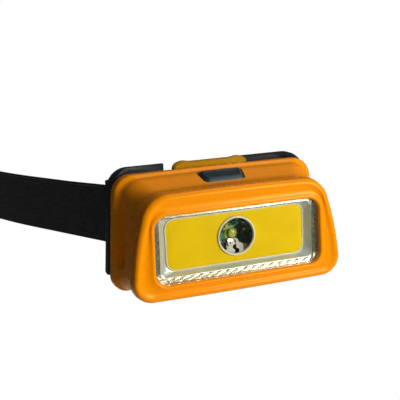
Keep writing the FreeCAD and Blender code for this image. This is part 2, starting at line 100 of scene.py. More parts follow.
def ramp(nt, fac, stops):
    r = nt.nodes.new("ShaderNodeValToRGB")
    el = r.color_ramp.elements
    while len(el) > 1:
        el.remove(el[-1])
    el[0].position, el[0].color = stops[0][0], tuple(stops[0][1]) + (1,)
    for p, c in stops[1:]:
        e = el.new(p)
        e.color = tuple(c) + (1,)
    nt.links.new(fac, r.inputs["Fac"])
    return r.outputs["Color"]


def maprange(nt, fac, a, b, c, d):
    n = nt.nodes.new("ShaderNodeMapRange")
    n.inputs["From Min"].default_value = a
    n.inputs["From Max"].default_value = b
    n.inputs["To Min"].default_value = c
    n.inputs["To Max"].default_value = d
    nt.links.new(fac, n.inputs["Value"])
    return n.outputs["Result"]


def bump(nt, height, strength, dist, bsdf, prev=None):
    b = nt.nodes.new("ShaderNodeBump")
    b.inputs["Strength"].default_value = strength
    b.inputs["Distance"].default_value = dist
    nt.links.new(height, b.inputs["Height"])
    if prev is not None:
        nt.links.new(prev, b.inputs["Normal"])
    nt.links.new(b.outputs["Normal"], bsdf.inputs["Normal"])
    return b.outputs["Normal"]


def plastic(name, lo, hi, rough=(0.2, 0.3), nscale=900, bstr=0.06, bdist=0.00004, coat=0.0, spec=0.5, big=60, metallic=0.0,
            coat_rough=0.05, tint=None):
    """Moulded plastic: slight colour variation on two scales, fine texture in bump and roughness."""
    m, nt, b = new_mat(name)
    v = coords(nt)
    f1 = noise(nt, v, big, 3)
    f2 = noise(nt, v, nscale, 4)
    col = ramp(nt, f1, [(0.3, lo), (0.7, hi)])
    nt.links.new(col, b.inputs["Base Color"])
    nt.links.new(maprange(nt, f2, 0.3, 0.7, rough[0], rough[1]), b.inputs["Roughness"])
    b.inputs["Metallic"].default_value = metallic
    b.inputs["Specular IOR Level"].default_value = spec
    b.inputs["Coat Weight"].default_value = coat
    b.inputs["Coat Roughness"].default_value = coat_rough
    if tint:
        b.inputs["Specular Tint"].default_value = tuple(tint) + (1,)
    bump(nt, f2, bstr, bdist, b)
    return m


M = {}
M["orange"] = plastic("orange_abs", (0.88, 0.262, 0.0), (0.93, 0.285, 0.0), (0.24, 0.33), 700, 0.05, 0.00003, spec=0.32, tint=(1.0, 0.68, 0.22))
# Darker copy of the orange plastic for the battery door: painted shade on the door's top and finger tab.
M["amber"] = plastic("amber_abs", (0.37, 0.172, 0.0), (0.44, 0.205, 0.0), (0.24, 0.33), 700, 0.05, 0.00003, spec=0.32, tint=(1.0, 0.68, 0.22))
M["black"] = plastic("black_nylon", (0.008, 0.009, 0.011), (0.014, 0.015, 0.018), (0.44, 0.56), 1400, 0.2, 0.00005, spec=0.24)
M["button"] = plastic("slate_rubber", (0.012, 0.026, 0.036), (0.020, 0.040, 0.052), (0.40, 0.52), 1800, 0.18, 0.00003, spec=0.3)
# Darker copy of the slate rubber for the button's upward faces: painted shade.
M["button_top"] = plastic("slate_rubber_top_painted_shade", (0.006, 0.012, 0.018), (0.011, 0.020, 0.028), (0.45, 0.6), 2200, 0.3, 0.00004, spec=0.25)
M["rubber"] = plastic("black_rubber", (0.010, 0.010, 0.010), (0.02, 0.02, 0.02), (0.6, 0.75), 1200, 0.2, 0.00005)
M["steel"] = plastic("zinc_steel", (0.50, 0.50, 0.49), (0.62, 0.61, 0.58), (0.25, 0.4), 800, 0.1, 0.00003, metallic=1.0)
M["nickel"] = plastic("nickel", (0.62, 0.60, 0.55), (0.72, 0.69, 0.63), (0.2, 0.32), 700, 0.08, 0.00003, metallic=1.0)
M["alu"] = plastic("bare_aluminium", (0.62, 0.63, 0.65), (0.74, 0.74, 0.75), (0.3, 0.45), 500, 0.15, 0.00004, metallic=1.0)
M["board_white"] = plastic("white_solder_mask", (0.72, 0.70, 0.62), (0.82, 0.80, 0.72), (0.35, 0.5), 900, 0.08, 0.00003)
M["pcb"] = plastic("green_solder_mask", (0.008, 0.10, 0.03), (0.015, 0.16, 0.05), (0.3, 0.45), 600, 0.1, 0.00003)
M["chip"] = plastic("chip_epoxy", (0.012, 0.012, 0.012), (0.03, 0.03, 0.03), (0.5, 0.65), 1500, 0.2, 0.00004)
M["cell"] = plastic("cell_sleeve", (0.02, 0.10, 0.05), (0.03, 0.16, 0.08), (0.22, 0.3), 400, 0.04, 0.00003, coat=0.4)
M["wire"] = plastic("pvc_red", (0.35, 0.01, 0.01), (0.5, 0.02, 0.015), (0.35, 0.45), 900, 0.1, 0.00003)
M["ring"] = plastic("pale_ring", (0.70, 0.66, 0.42), (0.82, 0.79, 0.58), (0.2, 0.35), 900, 0.08, 0.00003)
# Lip colours are painted reflections: warm cream on the bottom lip, a darker olive on its sides and top.
M["lip"] = plastic("metallised_painted_warm_reflection", (0.60, 0.52, 0.33), (0.71, 0.63, 0.42), (0.24, 0.32), 900, 0.03, 0.00003, metallic=0.8)
M["lip_side"] = plastic("amber_metallised", (0.34, 0.35, 0.25), (0.42, 0.43, 0.31), (0.22, 0.3), 900, 0.02, 0.00002, metallic=0.75)
M["chrome"] = plastic("metallised", (0.60, 0.66, 0.61), (0.68, 0.74, 0.69), (0.30, 0.38), 500, 0.01, 0.00001, metallic=0.62)


def phosphor_mat():
    """Silicone over rows of blue dies: a faint grid of warmer spots under a satin, slightly pebbled skin."""
    m, nt, b = new_mat("yellow_phosphor")
    v = coords(nt)
    f1 = noise(nt, v, 140, 3)
    base = ramp(nt, f1, [(0.3, (0.79, 0.53, 0.0)), (0.7, (0.86, 0.585, 0.0))])
    vor = nt.nodes.new("ShaderNodeTexVoronoi")
    vor.inputs["Scale"].default_value = 330
    vor.inputs["Randomness"].default_value = 0.12
    nt.links.new(v, vor.inputs["Vector"])
    spots = maprange(nt, vor.outputs["Distance"], 0.12, 0.22, 1.0, 0.0)
    mix = nt.nodes.new("ShaderNodeMix")
    mix.data_type = "RGBA"
    k = nt.nodes.new("ShaderNodeMath")
    k.operation = "MULTIPLY"
    k.inputs[1].default_value = 0.22
    nt.links.new(spots, k.inputs[0])
    nt.links.new(k.outputs[0], mix.inputs["Factor"])
    nt.links.new(base, mix.inputs["A"])
    mix.inputs["B"].default_value = (0.70, 0.44, 0.0, 1)
    nt.links.new(mix.outputs["Result"], b.inputs["Base Color"])
    f2 = noise(nt, v, 1300, 3)
    nt.links.new(maprange(nt, f2, 0.3, 0.7, 0.42, 0.55), b.inputs["Roughness"])
    b.inputs["Specular IOR Level"].default_value = 0.08
    bump(nt, f2, 0.12, 0.00004, b)
    return m


def lens_mat():
    """Clear window: nearly invisible straight on, mirror-like towards its edges."""
    m, nt, b = new_mat("clear_polycarbonate")
    v = coords(nt)
    f = noise(nt, v, 300, 2)
    nt.links.new(ramp(nt, f, [(0.3, (0.90, 0.93, 0.93)), (0.7, (0.95, 0.96, 0.96))]), b.inputs["Base Color"])
    nt.links.new(maprange(nt, f, 0.3, 0.7, 0.02, 0.05), b.inputs["Roughness"])
    b.inputs["Metallic"].default_value = 1.0
    fr = nt.nodes.new("ShaderNodeFresnel")
    fr.inputs["IOR"].default_value = 1.45
    nt.links.new(maprange(nt, fr.outputs["Fac"], 0.0, 1.0, 0.0, 0.5), b.inputs["Alpha"])
    return m


def facet_mat(name, lo, hi, metallic=0.55, rough=(0.08, 0.18)):
    """One kind of metallised facet, by what it mirrors of the emitter and the panel: in the spot cup this fixed colour
    is a painted reflection. The LED dome and base use it for their own colours.
    """
    m, nt, b = new_mat(name)
    v = coords(nt)
    f1 = noise(nt, v, 420, 2)
    nt.links.new(ramp(nt, f1, [(0.35, lo), (0.65, hi)]), b.inputs["Base Color"])
    b.inputs["Metallic"].default_value = metallic
    nt.links.new(maprange(nt, f1, 0.3, 0.7, rough[0], rough[1]), b.inputs["Roughness"])
    return m


def webbing_mat(name="black_webbing"):
    """Woven elastic: ribs across the band and twill yarns along it, from the band's own UV map (mm)."""
    m, nt, b = new_mat(name)
    uv = nt.nodes.new("ShaderNodeUVMap")
    uv.uv_map = "band"
    sep = nt.nodes.new("ShaderNodeSeparateXYZ")
    nt.links.new(uv.outputs["UV"], sep.inputs["Vector"])

    def wave(src, freq, phase=0.0):
        a = nt.nodes.new("ShaderNodeMath"); a.operation = "MULTIPLY_ADD"
        a.inputs[1].default_value = freq * 2 * math.pi
        a.inputs[2].default_value = phase
        nt.links.new(src, a.inputs[0])
        s = nt.nodes.new("ShaderNodeMath"); s.operation = "SINE"
        nt.links.new(a.outputs[0], s.inputs[0])
        return s.outputs[0]

    wl = wave(sep.outputs["X"], 1 / 0.9)            # across ribs, 0.9 mm pitch
    wt = wave(sep.outputs["Y"], 1 / 0.7)            # yarn rows, 0.7 mm pitch
    mul = nt.nodes.new("ShaderNodeMath"); mul.operation = "MULTIPLY"
    nt.links.new(wl, mul.inputs[0]); nt.links.new(wt, mul.inputs[1])
    add = nt.nodes.new("ShaderNodeMath"); add.operation = "MULTIPLY_ADD"
    nt.links.new(wt, add.inputs[0]); add.inputs[1].default_value = 0.6
    nt.links.new(mul.outputs[0], add.inputs[2])
    v = coords(nt)
    fuzz = noise(nt, v, 2600, 3, 0.7)
    tot = nt.nodes.new("ShaderNodeMath"); tot.operation = "MULTIPLY_ADD"
    nt.links.new(fuzz, tot.inputs[0]); tot.inputs[1].default_value = 0.9
    nt.links.new(add.outputs[0], tot.inputs[2])
    col = ramp(nt, maprange(nt, tot.outputs[0], -1.6, 2.4, 0, 1), [(0.0, (0.0015, 0.0015, 0.002)), (0.6, (0.0032, 0.0032, 0.004)), (1.0, (0.008, 0.008, 0.0095))])
    nt.links.new(col, b.inputs["Base Color"])
    b.inputs["Roughness"].default_value = 0.62
    b.inputs["Specular IOR Level"].default_value = 0.35
    b.inputs["Sheen Weight"].default_value = 0.10
    b.inputs["Sheen Roughness"].default_value = 0.4
    bump(nt, tot.outputs[0], 0.8, 0.00016, b)
    return m


def foam_mat():
    m, nt, b = new_mat("black_foam")
    v = coords(nt)
    vor = nt.nodes.new("ShaderNodeTexVoronoi")
    vor.inputs["Scale"].default_value = 1500
    nt.links.new(v, vor.inputs["Vector"])
    f = noise(nt, v, 250, 4)
    nt.links.new(ramp(nt, f, [(0.3, (0.012, 0.012, 0.013)), (0.7, (0.024, 0.024, 0.026))]), b.inputs["Base Color"])
    b.inputs["Roughness"].default_value = 0.92
    b.inputs["Sheen Weight"].default_value = 0.2
    bump(nt, vor.outputs["Distance"], 0.5, 0.00010, b)
    return m


M["phosphor"] = phosphor_mat()
M["lens"] = lens_mat()
M["dome"] = facet_mat("led_dome", (0.30, 0.34, 0.03), (0.62, 0.62, 0.10), 0.0, (0.1, 0.2))
M["led_base"] = facet_mat("led_base", (0.02, 0.03, 0.015), (0.06, 0.08, 0.04), 0.2, (0.3, 0.4))
# Spot cup facet colours are painted reflections (dark, green, teal, leaf, gold, cream, grey) of what each facet would
# mirror.
PAINTED_REFLECTION_FACETS = [facet_mat("facet_painted_reflection_black", (0.004, 0.005, 0.004), (0.012, 0.016, 0.010)),
          facet_mat("facet_painted_reflection_deep_green", (0.008, 0.030, 0.010), (0.020, 0.060, 0.022)),
          facet_mat("facet_painted_reflection_teal", (0.03, 0.16, 0.10), (0.10, 0.34, 0.24)),
          facet_mat("facet_painted_reflection_leaf", (0.14, 0.30, 0.08), (0.42, 0.62, 0.26)),
          facet_mat("facet_painted_reflection_gold", (0.45, 0.42, 0.03), (0.70, 0.66, 0.12)),
          facet_mat("facet_painted_reflection_cream", (0.74, 0.70, 0.56), (0.95, 0.92, 0.82), 0.2),
          facet_mat("facet_painted_reflection_grey", (0.12, 0.12, 0.10), (0.30, 0.28, 0.24))]
M["webbing"] = webbing_mat()
M["thread"] = plastic("black_thread", (0.010, 0.010, 0.012), (0.022, 0.022, 0.025), (0.5, 0.65), 2600, 0.3, 0.00005, spec=0.3)
M["foam"] = foam_mat()

# ------------------------------------------------------------------ mesh helpers


def make_obj(name, verts, faces, mat, smooth_angle=35, body="head"):
    me = bpy.data.meshes.new(name)
    me.from_pydata([W(*v) for v in verts], [], faces)
    me.validate()
    me.update()
    ob = bpy.data.objects.new(name, me)
    scene.collection.objects.link(ob)
    me.materials.append(mat)
    bm = bmesh.new()
    bm.from_mesh(me)
    bmesh.ops.remove_doubles(bm, verts=bm.verts, dist=1e-7)
    bmesh.ops.recalc_face_normals(bm, faces=bm.faces)
    if bm.calc_volume(signed=True) < 0:
        bmesh.ops.reverse_faces(bm, faces=bm.faces)
    bm.to_mesh(me)
    bm.free()
    shade(ob, smooth_angle)
    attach(ob, body)
    return ob


def shade(ob, angle):
    me = ob.data
    for p in me.polygons:
        p.use_smooth = True
    if angle is not None:
        me.set_sharp_from_angle(angle=math.radians(angle))


def grid(rows, closed_u=True, closed_v=False, cap0=False, cap1=False):
    """rows: lists of points of equal length. Returns verts, faces."""
    nv, nu = len(rows), len(rows[0])
    verts = [p for r in rows for p in r]
    faces = []
    for j in range(nv if closed_v else nv - 1):
        j2 = (j + 1) % nv
        for i in range(nu if closed_u else nu - 1):
            i2 = (i + 1) % nu
            faces.append((j * nu + i, j * nu + i2, j2 * nu + i2, j2 * nu + i))
    if cap0:
        faces.append(tuple(range(nu - 1, -1, -1)))
    if cap1:
        faces.append(tuple((nv - 1) * nu + i for i in range(nu)))
    return verts, faces


def merge(parts):
    verts, faces = [], []
    for v, f in parts:
        o = len(verts)
        verts += v
        faces += [tuple(i + o for i in q) for q in f]
    return verts, faces


NA, NB, NS = 26, 64, 30


def outline(spec, bulge=(0.0, 0.0, 0.0)):
    """Points (x, z) of a trapezoid with rounded corners; bulge crowns the bottom, sides and top outwards."""
    zt, zb, wt, wb, rt, rb = spec
    c = [(-wb, zb, rb), (wb, zb, rb), (wt, zt, rt), (-wt, zt, rt)]
    arcs = []
    for i in range(4):
        x, z, r = c[i]
        px, pz, _ = c[i - 1]
        nx, nz, _ = c[(i + 1) % 4]
        a = Vector((px - x, pz - z)).normalized()
        b = Vector((nx - x, nz - z)).normalized()
        half = math.acos(max(-1, min(1, a.dot(b)))) / 2
        bis = (a + b).normalized()
        ctr = Vector((x, z)) + bis * (r / math.sin(half))
        t = r / math.tan(half)
        p0, p1 = Vector((x, z)) + a * t, Vector((x, z)) + b * t
        a0 = math.atan2(p0.y - ctr.y, p0.x - ctr.x)
        a1 = math.atan2(p1.y - ctr.y, p1.x - ctr.x)
        d = (a1 - a0 + math.pi) % (2 * math.pi) - math.pi
        arcs.append([(ctr.x + r * math.cos(a0 + d * k / NA), ctr.y + r * math.sin(a0 + d * k / NA)) for k in range(NA + 1)])
    pts = []
    for i in range(4):
        pts += arcs[i]
        q0, q1 = arcs[i][-1], arcs[(i + 1) % 4][0]
        n = NB if i in (0, 2) else NS
        bl = bulge[0] if i == 0 else bulge[2] if i == 2 else bulge[1]
        dx, dz = q1[0] - q0[0], q1[1] - q0[1]
        L = math.hypot(dx, dz) or 1
        ox, oz = dz / L, -dx / L
        for k in range(1, n):
            t = k / n
            bb = bl * 4 * t * (1 - t)
            pts.append((q0[0] + dx * t + ox * bb, q0[1] + dz * t + oz * bb))
    return pts


def ins(spec, d):
    zt, zb, wt, wb, rt, rb = spec
    return (zt - d, zb + d, wt - d, wb - d, max(rt - d, 0.5), max(rb - d, 0.5))


def row(spec, y, bulge=(0, 0, 0)):
    return [(x, y, z) for x, z in outline(spec, bulge)]


def mix_rows(a, b, t, y):
    return [(p[0] + (q[0] - p[0]) * t, y, p[2] + (q[2] - p[2]) * t) for p, q in zip(a, b)]


def smooth01(t):
    t = max(0.0, min(1.0, t))
    return t * t * (3 - 2 * t)


# ------------------------------------------------------------------ front shell
WIN = (11.26, -11.26, 28.73, 29.28, 4.2, 4.2)
BUL = (0.25, 0.5, 0.3)
SEC = np.array([
    (1.60, 18.2, -16.4, 31.4, 38.2, 9.6, 6.6),
    (3.20, 18.35, -16.6, 31.75, 38.3, 9.5, 6.6),
    (4.60, 18.3, -16.6, 31.8, 38.2, 9.4, 6.6),
    (6.80, 17.95, -16.4, 31.6, 37.4, 9.0, 6.4),
    (9.50, 17.9, -16.2, 31.4, 36.5, 8.4, 6.2),
    (13.0, 19.0, -16.3, 32.0, 36.4, 8.0, 6.0),
    (17.0, 20.5, -16.9, 33.5, 37.3, 7.4, 5.6),
    (19.4, 21.05, -17.2, 34.4, 38.1, 7.0, 5.2),
    (20.3, 21.75, -17.6, 35.6, 38.95, 6.9, 5.1),
    (20.9, 22.0, -17.75, 36.0, 39.2, 6.8, 5.0),
    (21.5, 21.95, -17.75, 35.95, 39.2, 6.8, 5.0),
])


def sec_at(y):
    """Catmull-Rom through the sections."""
    ys = SEC[:, 0]
    y = min(max(y, ys[0]), ys[-1])
    i = int(np.clip(np.searchsorted(ys, y) - 1, 0, len(ys) - 2))
    p1, p2 = SEC[i], SEC[i + 1]
    p0 = SEC[max(i - 1, 0)]
    p3 = SEC[min(i + 2, len(SEC) - 1)]
    h = p2[0] - p1[0]
    t = (y - p1[0]) / h
    m1 = (p2 - p0) / max(p2[0] - p0[0], 1e-6) * h
    m2 = (p3 - p1) / max(p3[0] - p1[0], 1e-6) * h
    v = (2 * t**3 - 3 * t**2 + 1) * p1 + (t**3 - 2 * t**2 + t) * m1 + (-2 * t**3 + 3 * t**2) * p2 + (t**3 - t**2) * m2
    return tuple(v[1:])


def scoop(p):
    """Finger groove in each side, between waist and flange, deepest at its blunt lower end."""
    x, y, z = p
    if abs(x) < 28 or z < -9.5:
        return p
    ky = 1 - smooth01((abs(y - 17.2) - 0.7) / 1.9)
    kz = smooth01((z + 8.6) / 1.9) * (1 - smooth01((z - 6) / 12))
    d = (1.7 + 0.5 * (1 - smooth01(abs(z + 4.5) / 5.0))) * ky * kz
    return (x - math.copysign(d, x), y, z)


rows = []
W0 = row(WIN, 0)
for y, o in ((2.5, 0.0), (1.3, 0.0), (0.75, 0.02), (0.42, 0.12), (0.2, 0.28), (0.07, 0.5), (0.02, 0.75), (0.06, 1.05), (0.18, 1.35)):
    rows.append(row(ins(WIN, -o), y))
inner_dish = row(ins(WIN, -1.35), 0)
crest_spec = ins(sec_at(1.6), 1.9)
outer_dish = row(crest_spec, 0, BUL)
for t in (0.12, 0.25, 0.4, 0.55, 0.7, 0.85):
    rows.append(mix_rows(inner_dish, outer_dish, t, 0.18 + 0.50 * math.sin(math.pi * (t * 0.9 + 0.05)) - 0.12 * t))
FM = sec_at(1.6)
for k in range(0, 10):
    a = math.radians(10 * k)
    rows.append(row(ins(FM, 1.75 * (1 - math.sin(a))), 0.06 + 1.6 * (1 - math.cos(a)), BUL))
y = 2.2
while y <= 21.4:
    rows.append([scoop(p) for p in row(sec_at(y), y, BUL)])
    y += 0.32 if y > 18.6 else 0.5
rows.append([scoop(p) for p in row(sec_at(21.5), 21.42, BUL)])
rows.append(row(ins(sec_at(21.5), 0.15), 21.5, BUL))
rows.append(row(ins(sec_at(21.5), 1.7), 21.5, BUL))
for y in (20.0, 17.0, 13.0, 9.5, 6.8, 4.6, 3.2):
    sp = ins(sec_at(y), 1.6)
    side = 1.2 if y > 12 else 0.1
    rows.append(row((sp[0], sp[1], sp[2] - side, sp[3] - side, sp[4], sp[5]), y, BUL))
rows.append(row(ins(WIN, -2.0), 2.5))
v, f = grid(rows, True, True)
shell = make_obj("front_casing", v, f, M["orange"], 40)

# button opening, cut clean through the top wall
BS = math.radians(20.0)
BC = Vector((0, 14.4, 20.8))
BN = Vector((0, -math.sin(BS), math.cos(BS)))
BA = Vector((0, math.cos(BS), math.sin(BS)))


def button_ring(grow, depth, r, n=10, crown=0.0):
    """Closed ring with the button's plan, at a depth below its face."""
    hl, wb, wf = 3.6 + grow, 8.2 + grow, 7.1 + grow
    c = [(-wf, -hl), (wf, -hl), (wb, hl), (-wb, hl)]
    out = []
    for i in range(4):
        p = Vector(c[i]); a = (Vector(c[i - 1]) - p).normalized(); b = (Vector(c[(i + 1) % 4]) - p).normalized()
        half = math.acos(a.dot(b)) / 2
        ctr = p + (a + b).normalized() * (r / math.sin(half))
        t = r / math.tan(half)
        p0, p1 = p + a * t, p + b * t
        a0 = math.atan2(p0.y - ctr.y, p0.x - ctr.x); a1 = math.atan2(p1.y - ctr.y, p1.x - ctr.x)
        d = (a1 - a0 + math.pi) % (2 * math.pi) - math.pi
        for k in range(n + 1):
            out.append((ctr.x + r * math.cos(a0 + d * k / n), ctr.y + r * math.sin(a0 + d * k / n)))
        q = c[(i + 1) % 4]
        m = 8 if i in (0, 2) else 4
        nxt = Vector(q)
        a2 = (p - nxt).normalized(); b2 = (Vector(c[(i + 2) % 4]) - nxt).normalized()
        half2 = math.acos(a2.dot(b2)) / 2
        q0 = nxt + a2 * (r / math.tan(half2))
        for k in range(1, m):
            out.append((p1.x + (q0.x - p1.x) * k / m, p1.y + (q0.y - p1.y) * k / m))
    res = []
    for u, w in out:
        q = BC - BN * (depth - crown * (1 - (u / wb) ** 2)) + BA * w + Vector((u, 0, 0))
        res.append(tuple(q))
    return res


cut_v, cut_f = grid([button_ring(0.25, -4, 1.7), button_ring(0.25, 6, 1.7)], True, False, True, True)
cutter = make_obj("cutter", cut_v, cut_f, M["orange"])
mod = shell.modifiers.new("hole", "BOOLEAN")
mod.operation, mod.object, mod.solver = "DIFFERENCE", cutter, "FAST"
bpy.context.view_layer.update()
dg = bpy.context.evaluated_depsgraph_get()
done = bpy.data.meshes.new_from_object(shell.evaluated_get(dg))
shell.modifiers.clear()
shell.data = done
bpy.data.objects.remove(cutter)
shade(shell, 38)
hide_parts("front_shell")

# ------------------------------------------------------------------ button cap
rings = [button_ring(-0.75, 4.15, 1.0), button_ring(0.8, 4.15, 1.9), button_ring(0.8, 3.78, 1.9), button_ring(-0.6, 3.78, 1.2), button_ring(-0.6, 2.6, 1.2),
         button_ring(0.0, 2.6, 1.6)]
for dpt, g in ((1.45, 0.0), (1.25, -0.02), (1.1, -0.10), (0.5, -0.66), (0.2, -0.95), (0.07, -1.12), (0.0, -1.38)):
    rings.append(button_ring(g, dpt, max(1.6 + g * 0.6, 0.8)))
for g, dpt in ((-1.6, 0.02), (-1.8, 0.14), (-2.0, 0.2), (-2.5, 0.22), (-3.1, 0.22)):
    rings.append(button_ring(g, dpt, max(1.6 + g * 0.5, 0.25)))
v, f = grid(rings, True, False, True, True)
cap = make_obj("push_button", v, f, M["button"], 50, "button")
cap.data.materials.append(M["button_top"])
# Faces turned up take the darker copy: painted shade on the button's top.
for p in cap.data.polygons:
    if p.normal.z > 0.90:
        p.material_index = 1
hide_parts("button_cap")

# ------------------------------------------------------------------ reflector
RIBS = 46


def rib_row(spec, y, amp, phase, step):
    """A row displaced by slanted ribs that run round the lip like a laid cord."""
    pts = outline(spec)
    n = len(pts)
    L = [0.0]
    for i in range(1, n):
        L.append(L[-1] + math.hypot(pts[i][0] - pts[i - 1][0], pts[i][1] - pts[i - 1][1]))
    tot = L[-1] + math.hypot(pts[0][0] - pts[-1][0], pts[0][1] - pts[-1][1])
    out = []
    for i, (x, z) in enumerate(pts):
        a, b = pts[i - 1], pts[(i + 1) % n]
        tx, tz = b[0] - a[0], b[1] - a[1]
        l = math.hypot(tx, tz)
        nx, nz = tz / l, -tx / l
        s = (L[i] / tot * RIBS + phase) % 1.0
        low = smooth01((-z - 6.8) / 2.2)
        d = amp * (s / 0.62 if s < 0.62 else (1 - s) / 0.38) * low + (1 - low) * step
        out.append((x - nx * d, y - d * 0.7, z - nz * d))
    return out


NB_OLD, NS_OLD, NA_OLD = NB, NS, NA
NB, NS, NA = 260, 90, 26
LIP = ins(WIN, 0.12)
PANO = (9.75, -8.15, 24.85, 24.85, 3.6, 3.6)


def win_in(d):
    """Window outline set in by d, half as much along the top, where the lip is narrow."""
    sp = ins(WIN, d)
    return (WIN[0] - d * 0.55,) + sp[1:]


rr = [row(win_in(0.16), 3.3), row(win_in(0.16), 1.85), row(win_in(0.2), 1.76), row(win_in(0.3), 1.74)]
for k in range(9):
    u = k / 8
    rr.append(rib_row(win_in(0.42 + 1.25 * u), 1.95 + 0.62 * u, 0.30 * math.sin(math.pi * (0.08 + 0.84 * u)), -0.95 * u, (0.0, 0.16, 0.02, 0.02, 0.2, 0.03, 0.03, 0.16, 0.0)[k]))
rr += [row(win_in(1.76), 2.62), row(win_in(1.82), 2.40), row(win_in(1.9), 2.33), row(win_in(2.0), 2.36)]
LIP_FROM, LIP_TO = 4, 12
wall0, wall1 = row(win_in(2.0), 2.36), row(PANO, 4.3)
for t in (0.2, 0.4, 0.6, 0.8, 0.93):
    rr.append(mix_rows(wall0, wall1, t, 2.36 + 1.94 * (t ** 0.85)))
rr += [row(ins(PANO, 0.02), 4.25), row(ins(PANO, 0.1), 4.32), row(ins(PANO, 0.1), 4.5), row(ins(PANO, -1.6), 4.5), row(ins(WIN, 0.6), 3.3)]
v, f = grid(rr, True, True)
refl = make_obj("reflector_surround", v, f, M["chrome"], 28)
refl.data.materials.append(M["lip"])
refl.data.materials.append(M["lip_side"])
# Ribbed lip faces get painted reflection colours: warm cream along the bottom, darker olive on the sides and top.
for p in refl.data.polygons:
    yy = p.center.y * 1000 + PAD_BACK
    if 1.55 < yy < 2.62 and p.normal.y < -0.05:
        c = Vector((p.center.x * 1000, p.center.z * 1000 + PAD_Z))
        near = max(abs(c.x) - (28.9 - 1.85), -c.y - (11.26 - 1.85), c.y - (11.26 - 1.0))
        if near > 0:
            p.material_index = 1 if c.y < -8.0 else 2
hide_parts("reflector")
NB, NS, NA = NB_OLD, NS_OLD, NA_OLD

# ------------------------------------------------------------------ flood panel
PAN = (9.5, -7.9, 24.55, 24.55, 3.4, 3.4)
SPOT_Z = 1.1


def ring_hole(r, y, n):
    return [(r * math.cos(2 * math.pi * k / n), y, SPOT_Z + r * math.sin(2 * math.pi * k / n)) for k in range(n)]


def match_ring(spec, r, y):
    """Ring of radius r round the spot whose points face the outline's points."""
    pts = outline(spec)
    out = []
    for x, z in pts:
        a = math.atan2(z - SPOT_Z, x)
        out.append((r * math.cos(a), y, SPOT_Z + r * math.sin(a)))
    return out


pr = [row(ins(PAN, 0.3), 4.6), row(ins(PAN, 0.3), 4.2), row(ins(PAN, 0.36), 4.06), row(ins(PAN, 0.5), 4.0)]
mid = row(ins(PAN, 0.6), 4.0)
hole = match_ring(PAN, 6.85, 4.0)
for t in (0.15, 0.35, 0.55, 0.75, 0.9):
    pr.append([(p[0] + (q[0] - p[0]) * t, 4.0 - 0.03 * math.sin(math.pi * t), p[2] + (q[2] - p[2]) * t) for p, q in zip(mid, hole)])
pr += [hole, match_ring(PAN, 6.8, 4.6)]
v, f = grid(pr, True, True)
pan = make_obj("phosphor_panel", v, f, M["phosphor"], 35)
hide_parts("cob_phosphor")
dam_rows = [row(ins(PAN, -0.10), 4.6), row(ins(PAN, -0.10), 4.1), row(ins(PAN, -0.02), 3.93), row(ins(PAN, 0.12), 3.88), row(ins(PAN, 0.26), 3.93), row(ins(PAN, 0.34), 4.1),
            row(ins(PAN, 0.34), 4.6)]
v, f = grid(dam_rows, True, True)
dam = make_obj("phosphor_dam", v, f, M["ring"], 60)

# ------------------------------------------------------------------ spot optic


def lathe(profile, n, z0=SPOT_Z, jitter=None):
    rows_ = []
    for j, (r, y) in enumerate(profile):
        off = 0.5 * (j % 2) if jitter else 0.0
        rows_.append([(r * math.cos(2 * math.pi * (k + off) / n), y, z0 + r * math.sin(2 * math.pi * (k + off) / n)) for k in range(n)])
    return rows_


prof = [(6.0, 4.6), (6.0, 3.9), (6.06, 3.66), (6.22, 3.52), (6.45, 3.48), (6.62, 3.54), (6.7, 3.7), (6.7, 4.6)]
v, f = grid(lathe(prof, 96), True, True)
sr = make_obj("spot_trim_ring", v, f, M["ring"], 50)
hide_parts("spot_ring")
CUPN = 22
cup_prof = [(5.98, 4.25), (5.35, 5.2), (4.6, 6.05), (3.75, 6.8), (2.85, 7.4), (2.0, 7.75)]
rws = lathe(cup_prof, CUPN, jitter=True)
verts = [p for r_ in rws for p in r_]
faces = []
for j in range(len(rws) - 1):
    for k in range(CUPN):
        a, b = j * CUPN + k, j * CUPN + (k + 1) % CUPN
        c_, d_ = a + CUPN, b + CUPN
        faces += [(a, b, c_), (b, d_, c_)] if j % 2 == 0 else [(a, b, d_), (a, d_, c_)]
ncup = len(faces)
ou = lathe([(2.0, 7.75), (2.05, 8.2), (6.45, 8.2), (6.45, 4.62), (5.98, 4.25)], CUPN)
v2, f2 = grid(ou, True, False)
v, f = merge([(verts, faces), (v2, f2)])
cup = make_obj("spot_faceted_cup", v, f, PAINTED_REFLECTION_FACETS[0], 2)
for m_ in PAINTED_REFLECTION_FACETS[1:]:
    cup.data.materials.append(m_)
# Each facet gets a painted reflection colour by its angle round the cup: cream below, mostly dark to the right, teal,
# green and leaf above and to the left, gold near the centre.
rng = random.Random(11)
for p in cup.data.polygons:
    c = p.center
    x, z = c.x * 1000, c.z * 1000 + PAD_Z - SPOT_Z
    r, ang = math.hypot(x, z) / 6.0, math.degrees(math.atan2(z, x)) % 360
    if c.y * 1000 + PAD_BACK > 8.0 or r > 1.0:
        p.material_index = 6
        continue
    q = rng.random()
    if 236 < ang < 262 or 280 < ang < 306:
        i = 5 if q < 0.85 else 6
    elif 262 <= ang <= 280:
        i = 5 if r < 0.62 else 0
    elif ang >= 306 or ang < 62:
        i = 0 if q < 0.72 else 1 if q < 0.95 else 6
    elif ang < 112:
        i = 2 if q < 0.35 else 1 if q < 0.7 else 3 if q < 0.85 else 6
    elif ang < 150:
        i = 3 if q < 0.5 else 0 if q < 0.65 else 4
    elif ang < 200:
        i = 2 if q < 0.5 else 1 if q < 0.8 else 3
    else:
        i = 0 if q < 0.5 else 1 if q < 0.8 else 6
    if r < 0.52 and 80 < ang < 215:
        i = 4 if q < 0.6 else 3
    p.material_index = i
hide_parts("spot_reflector")
